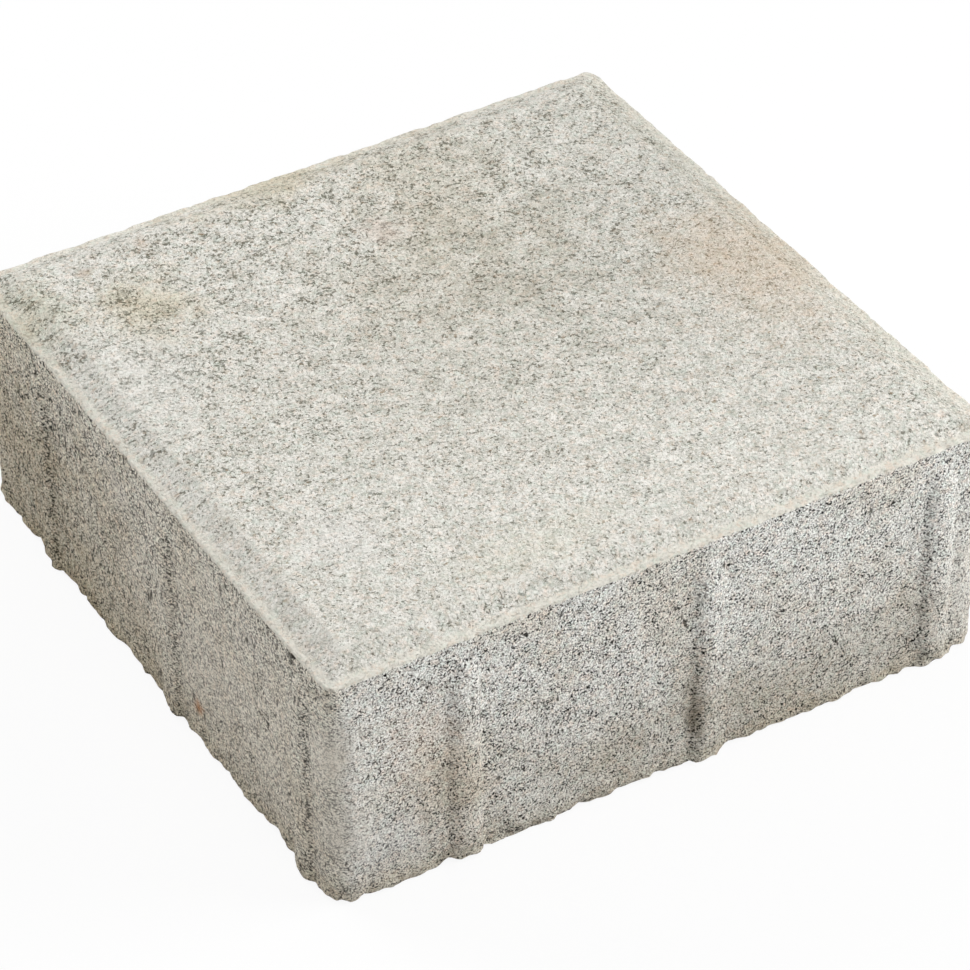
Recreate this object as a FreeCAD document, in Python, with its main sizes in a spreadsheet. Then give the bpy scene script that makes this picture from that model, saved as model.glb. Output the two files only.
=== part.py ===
import FreeCAD, Part
import os

import Sketcher

# A square vibro-pressed concrete paving block, lying flat: +Z is up, the origin is the
# middle of its underside, and all lengths are in millimetres.

SIZES = (
    # alias, value, what it is
    ("side", 208, "side of the square body, between the faces that carry the ribs"),
    ("block_height", 80, "underside to the flat top"),
    ("lip_height", 77, "underside to the narrow level lip round the top"),
    ("lip_width", 2.7, "side face to the foot of the chamfer"),
    ("crown_inset", 10, "side face to the head of the chamfer"),
    ("corner_radius", 3, "upright corners of the body"),
    ("crown_corner_radius", 3, "sloping corners of the chamfer"),
    ("rib_width", 10, "spacer rib, across its foot"),
    ("rib_proud", 1.7, "spacer rib, from the side face to its crest"),
    ("rib_shoulder", 62, "height up to which a rib has its full section"),
    ("rib_top", 69, "height at which a rib has died out"),
    ("tip_width", 6, "rib's upper end, across its foot"),
    ("tip_proud", 0.3, "rib's upper end, from the side face to its crest"),
    ("rib_pitch", 75.5, "from one rib of a face to the next"),
    ("rib_shift", 11.5, "middle rib, from the middle of its face"),
    ("ribs_per_face", 3, "ribs on one side face"),
    ("faces", 4, "side faces that carry ribs"),
    ("full_turn", 360, "degrees over which the ribbed faces are spread"),
)

doc = FreeCAD.newDocument("paving_block")
sheet = doc.addObject("Spreadsheet::Sheet", "sizes")
for row, (alias, value, meaning) in enumerate(SIZES, start=1):
    sheet.set("A%d" % row, meaning)
    sheet.set("B%d" % row, str(value))
    sheet.setAlias("B%d" % row, alias)
doc.recompute()

body = doc.addObject("PartDesign::Body", "paving_block")
body.Label = "paving_block"


def origin_feature(role):
    """One of the body's own planes or axes, by its role."""
    return next(item for item in body.Origin.OriginFeatures if item.Role == role)


def level_sketch(name, height):
    """A sketch parallel to the underside, at a height given by an expression."""
    sketch = body.newObject("Sketcher::SketchObject", name)
    sketch.AttachmentSupport = [(origin_feature("XY_Plane"), "")]
    sketch.MapMode = "FlatFace"
    if height:
        sketch.setExpression("AttachmentOffset.Base.z", height)
    return sketch


def bind(sketch, constraint, name, expression):
    """Add a dimension to a sketch and drive it from the sheet."""
    index = sketch.addConstraint(constraint)
    sketch.renameConstraint(index, name)
    sketch.setExpression("Constraints." + name, expression)


def square_sketch(name, height, side, start):
    """A square centred on the origin. Start is any first size for it."""
    sketch = level_sketch(name, height)
    half = start / 2
    corners = [(-half, -half), (half, -half), (half, half), (-half, half)]
    points = [FreeCAD.Vector(x, y, 0) for x, y in corners]
    following = points[1:] + points[:1]
    for point, next_point in zip(points, following):
        sketch.addGeometry(Part.LineSegment(point, next_point), False)
    for line, next_line in ((0, 1), (1, 2), (2, 3), (3, 0)):
        sketch.addConstraint(Sketcher.Constraint("Coincident", line, 2, next_line, 1))
    for index in (0, 2):
        sketch.addConstraint(Sketcher.Constraint("Horizontal", index))
        sketch.addConstraint(Sketcher.Constraint("Vertical", index + 1))
    sketch.addConstraint(Sketcher.Constraint("Equal", 0, 1))
    sketch.addConstraint(Sketcher.Constraint("Symmetric", 0, 1, 1, 2, -1, 1))
    bind(sketch, Sketcher.Constraint("DistanceX", 0, 1, 0, 2, start), "side", side)
    return sketch


def rib_sketch(name, height, width, proud):
    """The first rib's section: a flat arc standing on the -Y side face."""
    sketch = level_sketch(name, height)
    half = sheet.get(width) / 2
    face = -sheet.side / 2
    middle = sheet.rib_shift - sheet.rib_pitch
    ends = [FreeCAD.Vector(middle + reach, face, 0) for reach in (-half, half)]
    crest = FreeCAD.Vector(middle, face - sheet.get(proud), 0)
    sketch.addGeometry(Part.LineSegment(ends[1], ends[0]), False)
    sketch.addGeometry(Part.Arc(ends[0], crest, ends[1]), False)
    sketch.addConstraint(Sketcher.Constraint("Horizontal", 0))
    sketch.addConstraint(Sketcher.Constraint("Coincident", 0, 2, 1, 1))
    sketch.addConstraint(Sketcher.Constraint("Coincident", 0, 1, 1, 2))
    bind(sketch, Sketcher.Constraint("DistanceX", 0, 2, 0, 1, 2 * half), "width", "sizes." + width)
    bind(sketch, Sketcher.Constraint("DistanceY", 0, 2, -1, 1, -face), "face", "sizes.side / 2")
    bind(sketch, Sketcher.Constraint("DistanceX", 1, 3, -1, 1, -middle), "middle",
         "sizes.rib_pitch - sizes.rib_shift")
    radius = (half ** 2 + sheet.get(proud) ** 2) / (2 * sheet.get(proud))
    bind(sketch, Sketcher.Constraint("Radius", 1, radius), "radius",
         "(sizes.{0} ^ 2 / 4 + sizes.{1} ^ 2) / (2 * sizes.{1})".format(width, proud))
    return sketch


def straight_loft(name, lower, upper):
    """Flat or singly curved faces from one sketch to the one above it."""
    loft = body.newObject("PartDesign::AdditiveLoft", name)
    loft.Profile = lower
    loft.Sections = [upper]
    loft.Ruled = True
    doc.recompute()
    return loft


def edges_between(shape, low, high, tolerance=0.01):
    """Names of the edges that rise the whole way from one height to another."""
    names = []
    for number, edge in enumerate(shape.Edges, start=1):
        box = edge.BoundBox
        if abs(box.ZMin - low) < tolerance and abs(box.ZMax - high) < tolerance:
            names.append("Edge%d" % number)
    return names


def rounded(name, base, low, high, radius):
    """Round the corner edges that rise between two heights."""
    fillet = body.newObject("PartDesign::Fillet", name)
    fillet.Base = (base, edges_between(base.Shape, low, high))
    fillet.setExpression("Radius", "sizes." + radius)
    doc.recompute()
    return fillet


# The body up to its lip, with upright rounded corners.
block_pad = body.newObject("PartDesign::Pad", "block_pad")
block_pad.Profile = square_sketch("block_outline", None, "sizes.side", sheet.side)
block_pad.setExpression("Length", "sizes.lip_height")
doc.recompute()

# The crown: a low mitred chamfer that rises from inside the lip to the flat top.
crown = straight_loft(
    "crown",
    square_sketch("crown_foot", "sizes.lip_height", "sizes.side - 2 * sizes.lip_width", sheet.side),
    square_sketch("crown_head", "sizes.block_height", "sizes.side - 2 * sizes.crown_inset",
                  sheet.side))
corners = rounded("corners", crown, 0, sheet.lip_height, "corner_radius")
crown_corners = rounded("crown_corners", corners, sheet.lip_height, sheet.block_height,
                        "crown_corner_radius")

# The first spacer rib: its full section from the underside, then a tip that dies out.
rib_pad = body.newObject("PartDesign::Pad", "rib_pad")
rib_pad.Profile = rib_sketch("rib_section", None, "rib_width", "rib_proud")
rib_pad.setExpression("Length", "sizes.rib_shoulder")
doc.recompute()
rib_tip = straight_loft(
    "rib_tip",
    rib_sketch("rib_shoulder_section", "sizes.rib_shoulder", "rib_width", "rib_proud"),
    rib_sketch("rib_tip_section", "sizes.rib_top", "tip_width", "tip_proud"))

# The rib along its face, and that face's ribs turned to the other three, so that the ribs
# of two neighbouring blocks pass each other.
ribs = body.newObject("PartDesign::MultiTransform", "ribs")
ribs.Originals = [rib_pad, rib_tip]
along_face = body.newObject("PartDesign::LinearPattern", "along_face")
along_face.Direction = (origin_feature("X_Axis"), [""])
along_face.setExpression("Length", "sizes.rib_pitch * (sizes.ribs_per_face - 1)")
along_face.setExpression("Occurrences", "sizes.ribs_per_face")
round_faces = body.newObject("PartDesign::PolarPattern", "round_faces")
round_faces.Axis = (origin_feature("Z_Axis"), [""])
round_faces.setExpression("Angle", "sizes.full_turn")
round_faces.setExpression("Occurrences", "sizes.faces")
ribs.Transformations = [along_face, round_faces]
body.Tip = ribs
doc.recompute()

for item in doc.Objects:
    if {"Invalid", "Error"} & set(item.State):
        raise RuntimeError("%s failed: %s" % (item.Name, item.State))
if body.Shape.isNull() or not body.Shape.isValid() or len(body.Shape.Solids) != 1:
    raise RuntimeError("the block isn't one valid solid")

box = body.Shape.optimalBoundingBox()
print("box %.2f x %.2f x %.2f mm" % (box.XLength, box.YLength, box.ZLength))
print("volume %.1f cm3" % (body.Shape.Volume / 1000))

os.makedirs("parts", exist_ok=True)
body.Shape.exportStep("parts/%s.step" % body.Label)
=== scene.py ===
import math

import bmesh
import bpy
from mathutils import Matrix, Vector, noise
from mathutils.bvhtree import BVHTree


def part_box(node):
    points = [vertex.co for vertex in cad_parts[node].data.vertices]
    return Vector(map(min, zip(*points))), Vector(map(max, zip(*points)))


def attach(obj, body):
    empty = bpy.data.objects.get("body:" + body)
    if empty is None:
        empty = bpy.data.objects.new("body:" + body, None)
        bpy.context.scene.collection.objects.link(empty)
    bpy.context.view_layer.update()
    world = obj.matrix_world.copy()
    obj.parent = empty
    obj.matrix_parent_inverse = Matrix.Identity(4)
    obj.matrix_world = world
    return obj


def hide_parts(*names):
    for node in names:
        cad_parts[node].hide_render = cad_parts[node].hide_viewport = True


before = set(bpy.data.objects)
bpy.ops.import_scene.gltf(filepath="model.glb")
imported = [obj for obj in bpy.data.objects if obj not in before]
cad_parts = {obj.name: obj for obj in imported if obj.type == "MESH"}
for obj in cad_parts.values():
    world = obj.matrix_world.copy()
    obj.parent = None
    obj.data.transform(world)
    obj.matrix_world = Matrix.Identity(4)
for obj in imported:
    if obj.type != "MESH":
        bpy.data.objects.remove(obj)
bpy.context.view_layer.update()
MM = 0.001


# ---------------------------------------------------------------------------------------
# The block. One piece of dry, fine-grained concrete, rammed face up into a steel mould and
# pushed straight out of it. The mould leaves a narrow lip of fines round the top, drags the
# sides a little, and lets the foot and the upright corners crumble.
# ---------------------------------------------------------------------------------------

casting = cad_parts["paving_block"]
block_low, block_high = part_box("paving_block")
rib_proud = 1.7 * MM
half_side = block_high.x - rib_proud
block_height = block_high.z
lip_height = 77 * MM

cells_across = 190
cells_up = 68
coarse_step = 3          # the underside, inside its border, keeps every third line
border_cells = 8
edge_crowding = 0.22     # how far the mesh lines draw together towards the edges
cell = 2 * half_side / cells_across
on_face = cell / 4       # a vertex nearer to a face than this lies on it

# An even box of nearly square cells.
block = bmesh.new()
bmesh.ops.create_cube(block, size=1.0)
bmesh.ops.scale(block, vec=(2 * half_side, 2 * half_side, block_height), verts=block.verts)
bmesh.ops.translate(block, vec=(0, 0, block_height / 2), verts=block.verts)
for axis, cells in ((2, cells_up), (0, cells_across), (1, cells_across)):
    along = [edge for edge in block.edges
             if abs((edge.verts[0].co - edge.verts[1].co).normalized()[axis]) > 0.5]
    bmesh.ops.subdivide_edges(block, edges=along, cuts=cells - 1, use_grid_fill=True)

# Two in three of the underside's lines go inside its border, where it is flat.
fine_border = half_side - border_cells * cell
surplus = []
for edge in block.edges:
    start, end = (vert.co for vert in edge.verts)
    farthest = max(map(abs, (*start.xy, *end.xy)))
    if max(start.z, end.z) > cell / 2 or farthest > fine_border:
        continue
    across = 1 if abs(start.x - end.x) > abs(start.y - end.y) else 0
    if round((start[across] + half_side) / cell) % coarse_step:
        surplus.append(edge)
bmesh.ops.dissolve_edges(block, edges=surplus, use_verts=True)

# The casting, which the box is settled onto: its crown from above, its ribs from the side.
skin = BVHTree.FromPolygons([vert.co.copy() for vert in casting.data.vertices],
                            [tuple(face.vertices) for face in casting.data.polygons])
ray_start = 100 * MM      # how far outside the casting a ray starts
clearance = 0.3 * MM      # rays keep this far from the casting's own edges
rib_pitch = 75.5 * MM
rib_shift = 11.5 * MM
rib_half_width = 5 * MM
rib_middles = [rib_shift + rib_pitch * number for number in (-1, 0, 1)]
rib_feet = [middle + reach for middle in rib_middles for reach in (-rib_half_width, rib_half_width)]
flank_steepness = 1.5     # 1 keeps the casting's arc, more gives a flatter crest
foot_pull = 1.4 * MM      # mesh lines nearer than this to a rib's foot draw up to it
pull_shape = 0.6          # 0 leaves those lines where they are, more pulls harder


def crowded(value, middle, reach):
    """Draw evenly spaced lines closer together towards both ends of their range."""
    share = (value - middle) / reach
    return middle + reach * share * (1 + edge_crowding * (1 - share * share))


def clamped(value, low, high):
    """The value, held between two others."""
    return min(max(value, low), high)


def cast_surface(start, direction, fallback):
    """Where a ray meets the casting, or the casting's nearest point to a fallback place."""
    return skin.ray_cast(start, direction)[0] or skin.find_nearest(fallback)[0]


def top_height(x, y):
    """The height of the casting's top at a place, which is kept off its rim."""
    reach = half_side - clearance
    below = Vector((clamped(x, -reach, reach), clamped(y, -reach, reach), lip_height))
    return cast_surface(below + Vector((0, 0, ray_start)), Vector((0, 0, -1)), below).z


def drawn_to_feet(run):
    """A place along a side face, drawn a little towards the nearest edge of a rib."""
    foot = min(rib_feet, key=lambda value: abs(value - run))
    gap = run - foot
    return foot + gap * min(1.0, abs(gap) / foot_pull) ** pull_shape


def rib_relief(place, outward):
    """How far a rib stands out of a side face at a place, with its crest flattened."""
    level = clamped(place.z, clearance, lip_height - clearance)
    probe = Vector((place.x, place.y, level))
    found = cast_surface(probe + outward * ray_start, -outward, probe)
    share = max(0.0, found.dot(outward) - half_side) / rib_proud
    return rib_proud * (1 - max(0.0, 1 - share) ** flank_steepness)


def ramp(value, start, end):
    """Smooth step from 0 at start to 1 at end."""
    share = clamped((value - start) / (end - start), 0.0, 1.0)
    return share * share * (3 - 2 * share)


def lumps(place, size, seed):
    """Smooth unevenness of a wavelength in mm, from about -1 to 1."""
    return noise.noise(place / (size * MM) + Vector((seed, seed, seed)))


def uneven(place, waves):
    """A sum of waves of (height, wavelength, seed), in mm."""
    return sum(height * lumps(place, size, seed) for height, size, seed in waves)


def rounded_arris(first, second, radius):
    """Depths of a point below two faces, moved so that their shared arris is rounded."""
    a = radius - first
    b = radius - second
    if a <= 0 or b <= 0:
        return first, second
    pull = max(a, b) / math.hypot(a, b)
    return radius - a * pull, radius - b * pull


# Radii of the worn arrises, in mm: the mean, and waves of (height, wavelength, seed). The
# upright corners are sharpest at the top and wear away downwards.
foot_radius = 2.1
foot_waves = ((2.2, 11, 3), (3.6, 4.5, 9))
least_foot_radius = 0.4
lip_radius = 0.8
lip_waves = ((0.7, 8, 5), (0.9, 3, 7))
least_lip_radius = 0.25
corner_radius = 3.4
corner_wear = 4.4
corner_waves = ((1.5, 14, 2),)
corner_top = 76 * MM           # the corners are even above this height,
corner_ragged = 70 * MM        # wholly uneven below this one,
corner_worn = 60 * MM          # and fully worn below this one

hollow = block.verts.layers.float.new("hollow")
rib_run = block.verts.layers.float.new("rib_run")
clear_of_ribs = 1.0            # a rib_run, in mm, that isn't at any rib's foot
for vert in block.verts:
    x, y, z = vert.co
    on_top = z > block_height - on_face
    x = crowded(x, 0, half_side)
    y = crowded(y, 0, half_side)
    z = crowded(z, block_height / 2, block_height / 2)
    z = top_height(x, y) if on_top else z * lip_height / block_height
    depth = half_side - max(abs(x), abs(y))
    bulge = Vector((0, 0, 0))
    vert[rib_run] = clear_of_ribs

    # On a side face: draw the mesh to the ribs' feet, and find how far the ribs stand out.
    if depth < on_face and abs(abs(x) - abs(y)) > on_face:
        across = 0 if abs(x) > abs(y) else 1
        outward = Vector((0, 0, 0))
        outward[across] = math.copysign(1, (x, y)[across])
        turn = outward.x - outward.y     # the ribs go the same way round on every face
        run = (x, y)[1 - across] * turn
        if not on_top:
            run = drawn_to_feet(run)
        vert[rib_run] = min((run - middle for middle in rib_middles), key=abs) / MM
        if across == 1:
            x = run * turn
        else:
            y = run * turn
        bulge = outward * rib_relief(Vector((x, y, z)), outward)

    # Worn arrises: the ragged foot, the lip's thin edge, and the upright corners.
    place = Vector((x, y, z))
    radius = max(least_foot_radius, foot_radius + uneven(place, foot_waves))
    depth, z = rounded_arris(depth, z, radius * MM)
    radius = max(least_lip_radius, lip_radius + uneven(place, lip_waves))
    depth, fall = rounded_arris(depth, lip_height - z, radius * MM)
    if fall > 0 or on_top and z < lip_height:
        z = lip_height - fall
    shrink = (half_side - depth) / max(abs(x), abs(y))
    x *= shrink
    y *= shrink
    radius = corner_radius + corner_wear * ramp(z, corner_top, corner_worn)
    radius += uneven(place, corner_waves) * ramp(z, corner_top, corner_ragged)
    inset_x, inset_y = rounded_arris(half_side - abs(x), half_side - abs(y), radius * MM)
    x = math.copysign(half_side - inset_x, x)
    y = math.copysign(half_side - inset_y, y)
    vert.co = Vector((x, y, z)) + bulge

# The surface's own unevenness in mm: swellings, grain, crumbling near the foot and small
# pits that come in patches. Waves are (height, wavelength, seed).
swell_waves = ((0.12, 32, 1), (0.10, 10, 4))
grain_waves = ((0.13, 4.2, 6), (0.18, 2.4, 8))
crumble_waves = ((0.9, 6, 12), (0.9, 2.8, 15))
crumble_top = 10 * MM          # crumbling starts below this height
crumble_full = 0.5 * MM        # and is at its fullest below this one
set_back = 0.12                # the surface lies this much inside the casting's, on average
pit_depth = 0.75
pit_noise = (3.0, 21)          # wavelength and seed
pit_edge = (0.34, 0.64)
patch_noise = (22, 24)
patch_edge = (-0.1, 0.3)
swell_on_top = 0.4             # shares of the swell, grain and pits that a level face gets
grain_on_top = 0.25
pits_on_top = 0.2


def upright_share(sideways, on_level):
    """1 on an upright face, down to a given share on a level one."""
    return on_level + (1 - on_level) * sideways


block.normal_update()
for vert in block.verts:
    place = vert.co.copy()
    sideways = 1 - abs(vert.normal.z)
    pit = ramp(lumps(place, *pit_noise), *pit_edge) * ramp(lumps(place, *patch_noise), *patch_edge)
    vert[hollow] = pit * sideways
    rise = uneven(place, swell_waves) * upright_share(sideways, swell_on_top) - set_back
    rise += uneven(place, grain_waves) * upright_share(sideways, grain_on_top)
    rise += uneven(place, crumble_waves) * ramp(place.z, crumble_top, crumble_full) * sideways
    rise -= pit_depth * pit * upright_share(sideways, pits_on_top)
    moved = place + vert.normal * rise * MM
    vert.co = [clamped(*reach) for reach in zip(moved, block_low, block_high)]

for face in block.faces:
    face.smooth = True
mesh = bpy.data.meshes.new("paving_block_cast")
block.to_mesh(mesh)
block.free()
cast_block = bpy.data.objects.new("paving_block_cast", mesh)
bpy.context.scene.collection.objects.link(cast_block)


# --- The block's concrete: pale cement and grey sand, open-grained where the mould dragged it.

class Field:
    """A socket of a material. Arithmetic on fields adds Math nodes."""

    def __init__(self, socket):
        self.socket = socket

    def math(self, operation, *others):
        inputs = dict(enumerate((self, *others)))
        return add_node(self.socket.id_data, "ShaderNodeMath", {"operation": operation}, inputs)

    def __add__(self, other):
        return self.math("ADD", other)

    def __sub__(self, other):
        return self.math("SUBTRACT", other)

    def __rsub__(self, other):
        """Other minus self, as self times -1, plus other."""
        return self.math("MULTIPLY_ADD", -1, other)

    def __mul__(self, other):
        return self.math("MULTIPLY", other)

    __radd__ = __add__
    __rmul__ = __mul__

    def step(self, start, end):
        """0 at start to 1 at end, smoothly; start may be the larger."""
        settings = {"interpolation_type": "SMOOTHSTEP"}
        inputs = {"Value": self, "From Min": start, "From Max": end}
        return add_node(self.socket.id_data, "ShaderNodeMapRange", settings, inputs)


def add_node(tree, kind, settings, inputs, output=0):
    """Add a node, set it up, feed its sockets, and return one of its outputs."""
    node = tree.nodes.new(kind)
    for name, value in settings.items():
        setattr(node, name, value)
    for key, value in inputs.items():
        if isinstance(value, Field):
            tree.links.new(value.socket, node.inputs[key])
        else:
            node.inputs[key].default_value = value
    return Field(node.outputs[output]) if node.outputs else None


def srgb(red, green, blue):
    """A colour as it looks, 0 to 255, as the linear one that a socket holds."""
    linear = []
    for value in (red, green, blue):
        share = value / 255
        linear.append(share / 12.92 if share <= 0.04045 else ((share + 0.055) / 1.055) ** 2.4)
    return (*linear, 1.0)


concrete = bpy.data.materials.new("pressed_concrete")
concrete.use_nodes = True
tree = concrete.node_tree
tree.nodes.clear()

# Radians. Noise is turned off the block's own axes, or its grid would show on every face.
noise_turn = (0.62, 0.47, 0.35)
where = add_node(tree, "ShaderNodeTexCoord", {}, {}, "Object")
x, y, z = (add_node(tree, "ShaderNodeSeparateXYZ", {}, {0: where}, axis) for axis in "XYZ")


def mottle(size, detail, roughness, offset, stretch=(1, 1, 1)):
    """Cloudy noise with blotches of about the given size in mm, from 0 to 1."""
    mapped = add_node(tree, "ShaderNodeMapping", {"vector_type": "POINT"}, {
        "Vector": where, "Location": offset, "Rotation": noise_turn, "Scale": stretch})
    inputs = {"Vector": mapped, "Scale": 1 / (size * MM), "Detail": detail, "Roughness": roughness}
    return add_node(tree, "ShaderNodeTexNoise", {"noise_dimensions": "3D"}, inputs, "Fac")


def centred(reach, *noise_settings):
    """Noise about 0, as mottle makes it, times a reach."""
    return (mottle(*noise_settings) - 0.5) * reach


def blend(share, first, second, mode="MIX"):
    """A colour between two colours, or a colour laid over another."""
    settings = {"data_type": "RGBA", "blend_type": mode, "clamp_factor": True}
    return add_node(tree, "ShaderNodeMix", settings, {0: share, 6: first, 7: second}, 2)


side_x = x.math("ABSOLUTE")
side_y = y.math("ABSOLUTE")
edge_depth = half_side - side_x.math("MAXIMUM", side_y)
wander = centred(2.2 * MM, 3, 3, 0.6, (0, 0, 0))
top_edge = (75.9 * MM, 76.5 * MM)
top = (z + wander * 0.6).step(*top_edge)

# Top: cream cement over grey-green sand, with dark specks that gather in clouds and towards
# the back, and now and then a coarser stone or a point of rust.
grey_sand = srgb(196, 195, 184)
cream_cement = srgb(250, 247, 240)
dark_specks = srgb(126, 124, 110)
stone_grey = srgb(146, 147, 140)
rust_brown = srgb(158, 134, 104)
speck_edge = (0.586, 0.667)
cloud = mottle(26, 3, 0.6, (0.31, 0.12, 0)) - 0.5
patch = mottle(5, 3, 0.6, (0.5, 0.7, 0)) - 0.5
fine = mottle(0.85, 3, 0.9, (0.1, 0.9, 0.3))
speck_noise = mottle(1.1, 2, 0.8, (0.7, 0.2, 0.5))
towards_back = (y * 0.8 - x * 0.2).step(-70 * MM, 60 * MM)
gathering = cloud * 0.14 + patch * (towards_back * 0.26 + 0.12) + towards_back * 0.04
cement_share = (fine - patch * 0.28).step(0.36, 0.62)
stones = mottle(2.3, 1, 0.5, (0.25, 0.65, 0.45)).step(0.70, 0.74)
rust_points = mottle(1.9, 1, 0.5, (0.85, 0.35, 0.15)).step(0.70, 0.76)
top_colour = blend(cement_share, grey_sand, cream_cement)
top_colour = blend((speck_noise + gathering).step(*speck_edge) * 0.9, top_colour, dark_specks)
top_colour = blend(stones * 0.7, top_colour, stone_grey)
top_colour = blend(rust_points * 0.6, top_colour, rust_brown)

# Sides: grey grains with dark open gaps between them, painted shade that darkens them towards the
# foot, and dirtier at the very foot.
grain_stretch = (1, 0.68, 1)      # grains are a little longer along Y
grain_shade = srgb(175, 172, 165)
grain_light = srgb(255, 255, 251)
gap_black = srgb(12, 11, 9)
painted_shade_low = srgb(240, 238, 235)
foot_dirt = srgb(228, 222, 208)
left_cream = srgb(255, 250, 240)
cloud_tan = srgb(244, 239, 231)
on_left_face = x.step(-98 * MM, -103 * MM)
gap_noise = mottle(0.62, 1, 0.9, (0.9, 0.3, 0.2), grain_stretch)
gap_patch = mottle(3.5, 3, 0.6, (0.2, 0.4, 0.1)) - 0.5
gaps = (gap_noise - gap_patch * 0.28 - on_left_face * 0.018).step(0.427, 0.385)
side_fine = mottle(0.52, 2, 0.95, (0.3, 0.6, 0.8), grain_stretch)
side_cloud = mottle(26, 3, 0.6, (0.65, 0.15, 0.85)).step(0.45, 0.66)
side_colour = blend(side_fine.step(0.42, 0.57), grain_shade, grain_light)
side_colour = blend(gaps, side_colour, gap_black)
for share, tint in (
        # painted shade: the sides grow darker from near the top down to the foot
        (z.step(72 * MM, 4 * MM), painted_shade_low),
        (z.step(10 * MM, 1 * MM) * 0.6, foot_dirt),
        (on_left_face, left_cream),
        (side_cloud * 0.7, cloud_tan)):
    side_colour = blend(share, side_colour, tint, "MULTIPLY")

# Lip: a narrow band of cream fines round the top edge, and a fainter line at the chamfer's
# head. The chamfer at the +X side gets painted shade, which holds back the right lamp there.
lip_cream = srgb(238, 234, 222)
head_cream = srgb(238, 235, 226)
painted_chamfer_shade = srgb(240, 240, 238)
head_depth = 10.3 * MM
lip = (edge_depth + wander).step(3.9 * MM, 2.5 * MM) * top
head = (edge_depth + wander * 0.7 - head_depth).math("ABSOLUTE").step(1.6 * MM, 0.3 * MM) * top
right_chamfer_shade_mask = x.step(92 * MM, 96 * MM)
# painted shade on the +X chamfer, against the right lamp's light
top_colour = blend(right_chamfer_shade_mask, top_colour, painted_chamfer_shade, "MULTIPLY")
colour = blend(top, side_colour, top_colour)
colour = blend(lip * (fine * 1.2 + 0.1), colour, lip_cream)
colour = blend(head * 0.4, colour, head_cream)

# Tints from one patch of sand to the next, pinkish and bluish.
pinkish = srgb(255, 238, 228)
bluish = srgb(236, 249, 246)
tint_edge = (0.46, 0.70)
warm_tint = mottle(2.2, 3, 0.7, (0.8, 0.1, 0.6)).step(*tint_edge)
cool_tint = mottle(2.6, 3, 0.7, (0.4, 0.5, 0.9)).step(*tint_edge)
colour = blend(warm_tint * 0.55, colour, pinkish, "MULTIPLY")
colour = blend(cool_tint * 0.5, colour, bluish, "MULTIPLY")

stain_edge = centred(2.4, 13, 4, 0.7, (0.4, 0.8, 0.2))
stain_end = 1.6            # how many times its reach a stain can be seen at, on average


def spot(middle, reach):
    """1 in the middle of a stain to 0 outside it, with a cloudy outline. Sizes in mm."""
    squares = [((place - centre * MM) * (1 / (radius * MM))).math("POWER", 2)
               for place, centre, radius in zip((x, y, z), middle, reach)]
    distance = (squares[0] + squares[1] + squares[2]).math("SQRT")
    return (distance + stain_edge).step(stain_end, 0.0)


# Damp and dirt, which darken: middle, reach, colour, strength.
for middle, reach, tint, strength in (
        ((30, 76, 80), (26, 44, 20), (243, 239, 231), 0.6),
        ((10, 36, 80), (36, 30, 20), (243, 240, 234), 0.55),
        ((-12, 98, 80), (26, 10, 20), (240, 234, 220), 0.9),
        ((-70, 63, 80), (13, 16, 20), (242, 236, 222), 0.9),
        ((-97, 79, 78), (10, 18, 8), (246, 246, 238), 0.9),
        ((-2, 2, 80), (56, 50, 20), (246, 245, 243), 1.0),
        ((-67, -104, 20), (12, 12, 30), (244, 238, 230), 0.8),
        ((7.5, -104, 17), (3, 12, 12), (196, 190, 182), 0.9),
        ((32, -104, 15), (66, 12, 15), (234, 232, 227), 1.0),
        ((86, 30, 80), (70, 90, 20), (240, 240, 239), 1.0),
        ((-104, 74, 30), (12, 42, 40), (236, 232, 224), 1.0),
        ((-104, 30, 6), (12, 95, 13), (236, 232, 222), 0.6)):
    colour = blend(spot(middle, reach) * strength, colour, srgb(*tint), "MULTIPLY")

# Rust, bloom and lime streaks, which cover: middle, reach, colour, strength.
for middle, reach, tint, strength in (
        ((86, -9, 80), (21, 32, 20), (218, 184, 146), 0.30),
        ((5, 60, 80), (8, 6, 20), (240, 216, 206), 0.25),
        ((-57, 90, 80), (3, 3, 20), (170, 130, 88), 0.4),
        ((-77, 86, 80), (3, 2, 20), (170, 130, 88), 0.4),
        ((-84, 32, 80), (13, 22, 20), (243, 241, 235), 0.3),
        ((-73, -56, 80), (12, 12, 20), (244, 242, 238), 0.3),
        ((-30, -84, 80), (24, 9, 20), (232, 228, 204), 0.2),
        ((-77, -104, 48), (12, 12, 15), (226, 198, 172), 0.2),
        ((-88, -104, 14), (14, 12, 10), (214, 214, 216), 0.2),
        ((96, -104, 24), (8, 12, 22), (222, 218, 210), 0.25),
        ((-104, -104, 49), (4.5, 4.5, 6), (232, 220, 202), 0.6),
        ((-104, -104, 22), (4, 4, 8), (222, 212, 196), 0.4),
        ((-101, -101, 36), (9, 9, 46), (228, 223, 212), 0.36),
        ((-104, -52, 40), (12, 66, 46), (232, 224, 212), 0.32),
        ((-104, 14, 62), (12, 7, 5), (214, 208, 202), 0.25),
        ((-104, -60, 62), (12, 7, 5), (214, 208, 202), 0.25),
        ((-104, -27, 13), (12, 2.6, 2.6), (176, 112, 48), 0.7)):
    colour = blend(spot(middle, reach) * strength, colour, srgb(*tint))
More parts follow.
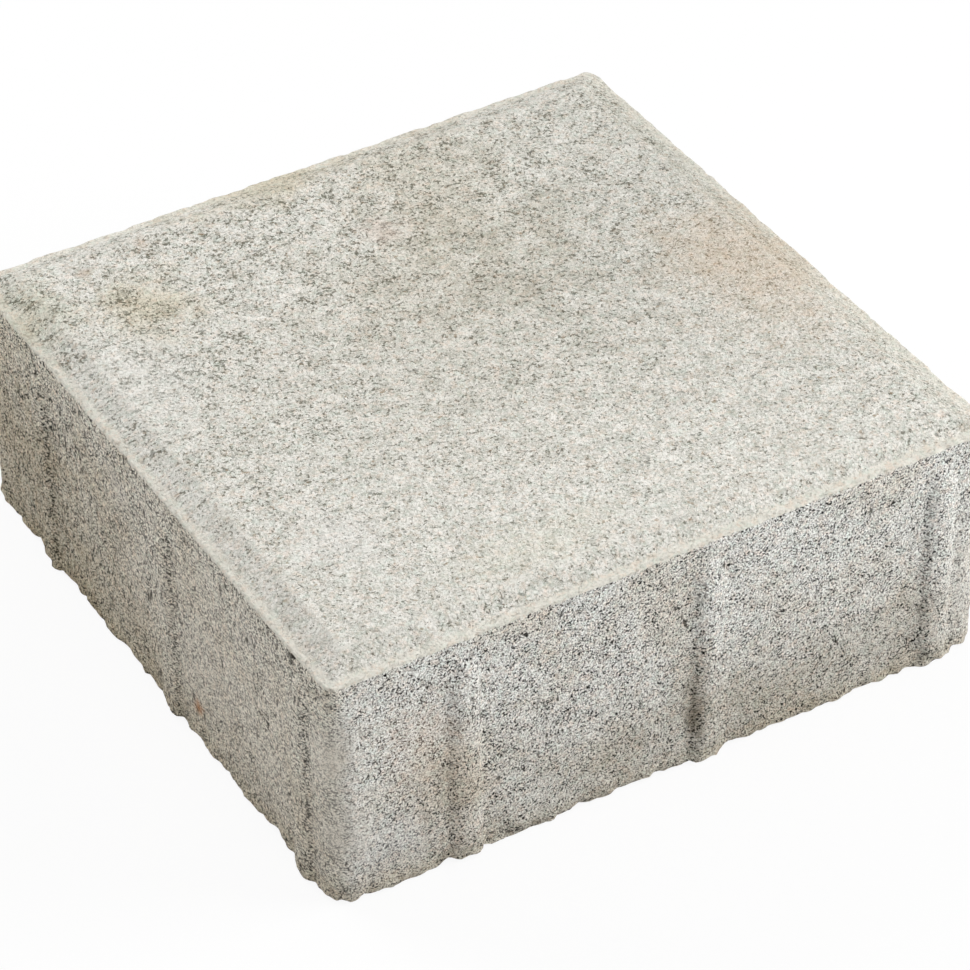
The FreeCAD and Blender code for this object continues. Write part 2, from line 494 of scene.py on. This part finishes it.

# A dark line along one foot of each rib: painted shade in the crease on the flank away from the
# lamps, with some dirt. It is broken up, and one rib on each Y face has none.
rib_run_field = add_node(tree, "ShaderNodeAttribute", {"attribute_name": "rib_run"}, {}, "Fac")
foot_shade_run = 4.3             # mm from the rib's middle line
on_x_side = (side_x - side_y).step(-0.1 * MM, 0.1 * MM)
foot_wander = centred(2.4, 2.5, 3, 0.6, (0.6, 0.6, 0.1))
foot_distance = rib_run_field + foot_shade_run - on_x_side * (2 * foot_shade_run) + foot_wander
below_tip = z.step(70 * MM, 64 * MM)
shade_grain = gap_noise.step(0.56, 0.42)
foot_shade_strength = on_left_face * 0.3 + 0.58
foot_shade_breaks = mottle(7, 3, 0.6, (0.15, 0.25, 0.7), (1, 1, 0.4)) + on_left_face * 0.1
# painted shade, with some dirt, along one foot of each rib
rib_foot_shade_and_dirt = foot_distance.math("ABSOLUTE").step(0.9, 0.2) * below_tip * shade_grain * foot_shade_strength
rib_foot_shade_and_dirt = rib_foot_shade_and_dirt * foot_shade_breaks.step(0.40, 0.60)
rib_foot_shade_and_dirt = rib_foot_shade_and_dirt * (x - y * 0.6).math("ABSOLUTE").step(20 * MM, 60 * MM)

# Upright drag marks in patches, cracks near the foot, and painted shade in the hollows of the mesh.
drag_patch = mottle(17, 2, 0.5, (0.15, 0.95, 0.55)) + on_left_face * 0.11 - 0.05
drag = mottle(1.5, 2, 0.65, (0.55, 0.45, 0.35), (1, 1, 0.3)).step(0.60, 0.67)
drag = drag * drag_patch.step(0.50, 0.60) * (1 - top)
crack = (mottle(8, 3, 0.65, (0.35, 0.05, 0.65)) - 0.5).math("ABSOLUTE").step(0.016, 0.003)
crack = crack * z.step(20 * MM, 3 * MM) * mottle(13, 2, 0.5, (0.75, 0.25, 0.95)).step(0.50, 0.60)
# painted shade in the mesh's pits, where the hollow attribute is deep
hollow_field = add_node(tree, "ShaderNodeAttribute", {"attribute_name": "hollow"}, {}, "Fac")
shade_and_marks = rib_foot_shade_and_dirt
for mark in (drag, crack, hollow_field.step(0.3, 0.9) * shade_grain):
    shade_and_marks = shade_and_marks.math("MAXIMUM", mark)
mark_and_shade_brown = srgb(52, 48, 40)
# drag marks and cracks, with painted shade at the rib feet and in the hollows
colour = blend(shade_and_marks * 0.8, colour, mark_and_shade_brown)

# Grains stand up, and specks and gaps sink in.
specks_alone = speck_noise.step(*speck_edge)
height = fine * 0.35 + side_fine * 0.5 - specks_alone * 0.35 - gaps * 0.9
bump = add_node(tree, "ShaderNodeBump", {},
                {"Strength": 1.0, "Distance": 0.45 * MM, "Height": height}, "Normal")
surface = add_node(tree, "ShaderNodeBsdfPrincipled", {}, {
    "Base Color": colour, "Roughness": 0.93, "Normal": bump, "Specular IOR Level": 0.25}, "BSDF")
add_node(tree, "ShaderNodeOutputMaterial", {}, {"Surface": surface})

cast_block.data.materials.append(concrete)
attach(cast_block, "root")
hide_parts("paving_block")


# ---------------------------------------------------------------------------------------
# The studio: a plain pale floor, soft boxes at the right, the back left and the front, a
# broad one overhead, and a camera that looks down on one corner of the block.
# ---------------------------------------------------------------------------------------

bpy.ops.mesh.primitive_plane_add(size=6, location=(0, 0, 0))
floor = bpy.context.object
floor.name = "studio_floor"
paper = bpy.data.materials.new("white_paper")
paper.use_nodes = True
tree = paper.node_tree
tree.nodes.clear()
light_path = {name: add_node(tree, "ShaderNodeLightPath", {}, {}, name)
              for name in ("Is Camera Ray", "Is Glossy Ray", "Is Transmission Ray")}
seen = light_path["Is Camera Ray"].math("MAXIMUM", light_path["Is Glossy Ray"])
seen = seen.math("MAXIMUM", light_path["Is Transmission Ray"])
matt = add_node(tree, "ShaderNodeBsdfDiffuse", {}, {"Color": (0.92, 0.92, 0.92, 1)}, "BSDF")
glow = add_node(tree, "ShaderNodeEmission", {}, {"Color": (1, 1, 1, 1), "Strength": 1.0}, "Emission")
glow_share = 0.9           # lifts the paper to white where it is seen, not where it lights
mixed = add_node(tree, "ShaderNodeMixShader", {}, {0: seen * glow_share, 1: matt, 2: glow}, 0)
add_node(tree, "ShaderNodeOutputMaterial", {}, {"Surface": mixed})
floor.data.materials.append(paper)


def soft_box(name, place, size, strength):
    """A square area light that points at the middle of the block. Metres and watts."""
    lamp = bpy.data.lights.new(name, "AREA")
    lamp.size = size
    lamp.energy = strength
    stand = bpy.data.objects.new(name, lamp)
    stand.location = place
    aim = Vector((0, 0, block_height / 2)) - Vector(place)
    stand.rotation_euler = aim.to_track_quat("-Z", "Y").to_euler()
    bpy.context.scene.collection.objects.link(stand)


soft_box("right_box", place=(1.1, -0.6, 0.55), size=0.9, strength=16)
soft_box("back_left_box", place=(-0.5, 1.1, 0.8), size=0.8, strength=10)
soft_box("overhead_box", place=(0.1, 0.1, 1.5), size=1.4, strength=2)
soft_box("front_box", place=(-0.3, -0.6, 1.4), size=0.8, strength=3)

world = bpy.data.worlds.new("studio_air")
world.use_nodes = True
bpy.context.scene.world = world
air = world.node_tree.nodes["Background"]
air.inputs["Color"].default_value = (1, 1, 1, 1)
air.inputs["Strength"].default_value = 0.35

camera_data = bpy.data.cameras.new("camera")
camera_data.sensor_width = 36
camera_data.lens = 153.85
camera = bpy.data.objects.new("camera", camera_data)
camera_place = Vector((-464.1, -797.0, 771.4)) * MM
camera_aim = Vector((-27.4, -53.0, 77.0)) * MM
camera_roll = math.radians(-0.665)
aimed = (camera_aim - camera_place).to_track_quat("-Z", "Y").to_matrix().to_4x4()
camera.matrix_world = (Matrix.Translation(camera_place) @ aimed
                       @ Matrix.Rotation(camera_roll, 4, "Z"))
bpy.context.scene.collection.objects.link(camera)
bpy.context.scene.camera = camera
bpy.context.scene.view_settings.view_transform = "Standard"
